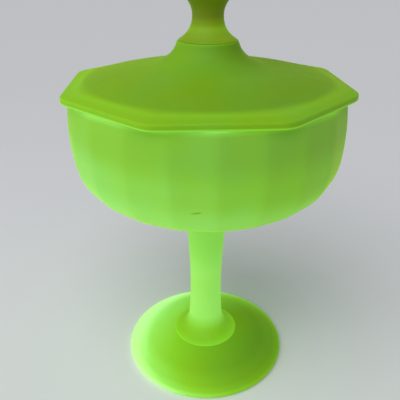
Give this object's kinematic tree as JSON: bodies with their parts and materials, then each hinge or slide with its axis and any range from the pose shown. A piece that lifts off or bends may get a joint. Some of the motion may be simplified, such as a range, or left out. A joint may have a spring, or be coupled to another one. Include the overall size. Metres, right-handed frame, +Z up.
{
  "type": "covered stemmed dish",
  "caption": "Round dish with flat upright panels on a waisted stem and domed foot, with a lift-off eight-sided domed cover and a knob.",
  "frame": {"origin": "centre of the ring that the foot stands on", "axes": "+Z up along the stem's axis; the middle of one side of the eight-sided cover faces -Y"},
  "size_m": [0.1506, 0.152, 0.2425],
  "materials": {
    "satin_glass": "satin, milky and nearly opaque, glows yellow-green under ultraviolet light"
  },
  "bodies": {
    "base": {"foot": "satin_glass", "stem": "satin_glass", "bowl": "satin_glass"},
    "cover": {"lid": "satin_glass", "finial": "satin_glass"}
  },
  "joints": [
    {"name": "lid_lift", "type": "slide", "parent": "base", "child": "cover", "axis": [0, 0, 1], "range_m": [0, 0.12]}
  ]
}
